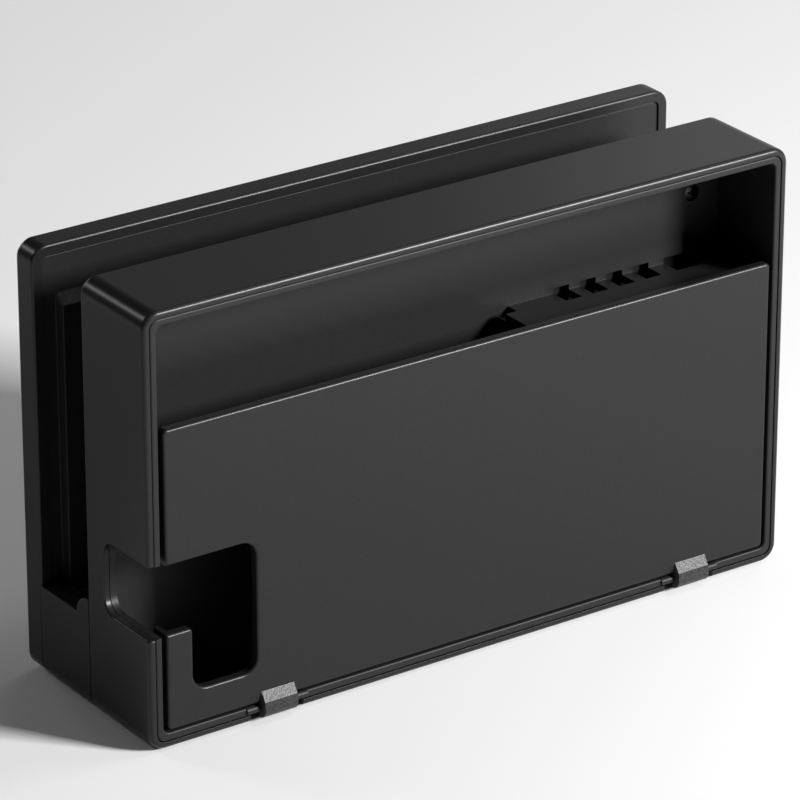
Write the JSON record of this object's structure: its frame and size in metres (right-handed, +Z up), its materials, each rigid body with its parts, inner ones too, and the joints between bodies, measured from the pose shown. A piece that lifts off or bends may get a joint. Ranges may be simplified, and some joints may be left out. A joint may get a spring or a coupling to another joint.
{
  "type": "handheld console dock",
  "caption": "Upright black dock for a handheld console: face plate and deep rear box with a slot between, a tilting plug in the slot floor, and a hinged cable door at the back.",
  "frame": {"origin": "on the ground under the middle of the dock's bounding box", "axes": "+X along the dock's width, +Y from the face plate towards the cable door, +Z up"},
  "size_m": [0.173, 0.054, 0.104],
  "materials": {
    "face_plastic": "black moulded plastic with a fine matte grain",
    "slot_plastic": "black moulded plastic with a spark-eroded grain",
    "shell_plastic": "black moulded plastic with a fine matte grain",
    "tray_plastic": "black moulded plastic with a fine matte grain",
    "door_plastic": "black moulded plastic with a fine matte grain",
    "base_plastic": "black moulded plastic",
    "carrier_plastic": "black moulded plastic, smooth",
    "circuit_board": "green solder mask on glass-fibre board",
    "chip_black": "moulded chip packages",
    "shield_steel": "tinned sheet steel",
    "socket_steel": "nickel-plated sheet steel",
    "plug_steel": "nickel-plated sheet steel",
    "pin_steel": "ground steel pin",
    "bracket_steel": "zinc-plated sheet steel",
    "spring_steel": "spring steel strip",
    "ribbon_film": "amber polyimide film",
    "light_clear": "clear acrylic",
    "foot_rubber": "black rubber",
    "screw_black": "black-passivated steel",
    "screw_zinc": "zinc-plated steel"
  },
  "bodies": {
    "housing": {"front_cover": "face_plastic", "slot_liner": "slot_plastic", "rear_shell": "shell_plastic", "back_plate": "tray_plastic", "bottom_cover": "base_plastic", "main_board": "circuit_board", "side_usb_board": "circuit_board", "led_board": "circuit_board", "board_chips": "chip_black", "shield_plate": "shield_steel", "power_port": "socket_steel", "rear_usb_port": "socket_steel", "video_port": "socket_steel", "side_usb_port_lower": "socket_steel", "side_usb_port_upper": "socket_steel", "plug_pin": "pin_steel", "plug_bracket": "bracket_steel", "carrier_springs": "spring_steel", "plug_flex": "ribbon_film", "side_board_ribbon": "ribbon_film", "led_ribbon": "ribbon_film", "light_guide": "light_clear", "rubber_feet": "foot_rubber", "back_plate_screws": "screw_black", "board_screws": "screw_zinc", "liner_screws": "screw_black", "cover_screws": "screw_black", "bracket_screws": "screw_zinc", "bottom_screws": "screw_black"},
    "door": {"rear_door": "door_plastic"},
    "plug": {"plug_carrier": "carrier_plastic", "console_plug": "plug_steel"}
  },
  "joints": [
    {"name": "door_hinge", "type": "hinge", "parent": "housing", "child": "door", "pos_m": [0, 0.0246, 0.0033], "axis": [-1, 0, 0], "range_deg": [0, 90]},
    {"name": "plug_tilt", "type": "hinge", "parent": "housing", "child": "plug", "pos_m": [0, -0.01, 0.0105], "axis": [1, 0, 0], "range_deg": [-4, 4], "stiffness_Nm_per_rad": 0.2, "deforming": ["carrier_springs"]}
  ]
}
